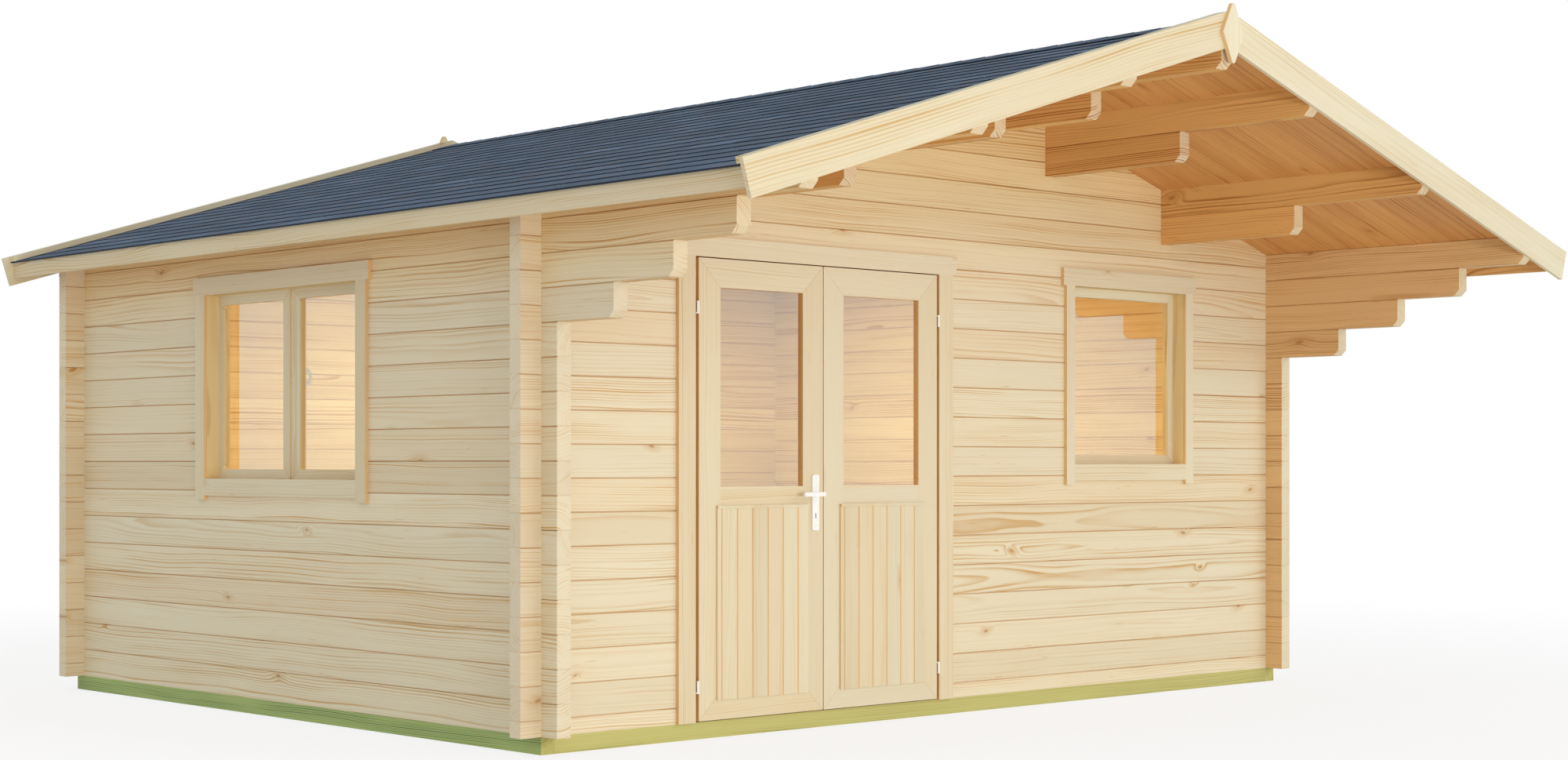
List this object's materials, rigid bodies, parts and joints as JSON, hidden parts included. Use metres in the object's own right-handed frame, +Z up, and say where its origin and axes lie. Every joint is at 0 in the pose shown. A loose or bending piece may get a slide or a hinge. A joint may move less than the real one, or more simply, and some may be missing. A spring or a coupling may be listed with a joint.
{
  "type": "log cabin",
  "caption": "Pitched-roof log cabin with interlocking corner logs, a deep front canopy on stepped log corbels, glazed double doors and fixed windows.",
  "frame": {"origin": "middle of the wall plan, on the ground under the foundation's middle joist", "axes": "+Z up, -Y out of the front with its doors, +X to the right of someone facing the front"},
  "size_m": [5.402, 5.547, 3.0122],
  "materials": {
    "foundation_timber": "pressure-treated green",
    "floor_wood": "planed",
    "side_logs": "planed, untreated",
    "gable_logs": "planed, untreated",
    "roof_timber": "planed, untreated",
    "trim_wood": "planed, untreated",
    "window_wood": "planed, untreated",
    "door_wood": "planed, untreated",
    "shingles": "mineral granules",
    "glass": "clear",
    "white_metal": "gloss white"
  },
  "bodies": {
    "cabin": {"foundation_side_beams": "foundation_timber", "foundation_cross_beams": "foundation_timber", "floor": "floor_wood", "left_wall_odd_logs": "side_logs", "left_wall_even_logs": "side_logs", "right_wall_odd_logs": "side_logs", "right_wall_even_logs": "side_logs", "front_wall_odd_logs": "gable_logs", "front_wall_even_logs": "gable_logs", "back_wall_odd_logs": "gable_logs", "back_wall_even_logs": "gable_logs", "lower_purlins": "roof_timber", "upper_purlins": "roof_timber", "ridge_purlin": "roof_timber", "purlin_corbels": "roof_timber", "roof_boards_left": "roof_timber", "roof_boards_right": "roof_timber", "left_verge_laths": "trim_wood", "right_verge_laths": "trim_wood", "left_barge_boards": "trim_wood", "right_barge_boards": "trim_wood", "eaves_fascias": "trim_wood", "finials": "trim_wood", "casing_uprights": "trim_wood", "casing_heads": "trim_wood", "window_aprons": "trim_wood", "window_frames": "window_wood", "window_sashes": "window_wood", "door_frame": "door_wood", "roof_covering_left": "shingles", "roof_covering_right": "shingles", "ridge_cap": "shingles", "window_panes": "glass", "window_handle": "white_metal", "frame_hinge_knuckles": "white_metal"},
    "left_door": {"left_door_leaf": "door_wood", "left_door_glass": "glass", "left_door_panel": "door_wood", "left_leaf_knuckles": "white_metal", "door_plates": "white_metal"},
    "right_door": {"right_door_leaf": "door_wood", "right_door_glass": "glass", "right_door_panel": "door_wood", "right_leaf_knuckles": "white_metal"},
    "lever": {"door_lever": "white_metal"}
  },
  "joints": [
    {"name": "left_door_hinge", "type": "hinge", "parent": "cabin", "child": "left_door", "pos_m": [-1.60975, -1.922, 1], "axis": [0, 0, -1], "range_deg": [0, 110]},
    {"name": "right_door_hinge", "type": "hinge", "parent": "cabin", "child": "right_door", "pos_m": [-0.17225, -1.922, 1], "axis": [0, 0, 1], "range_deg": [0, 110]},
    {"name": "lever_turn", "type": "hinge", "parent": "left_door", "child": "lever", "pos_m": [-0.9425, -1.896, 1], "axis": [0, -1, 0], "range_deg": [0, 40], "stiffness_Nm_per_rad": 1}
  ]
}
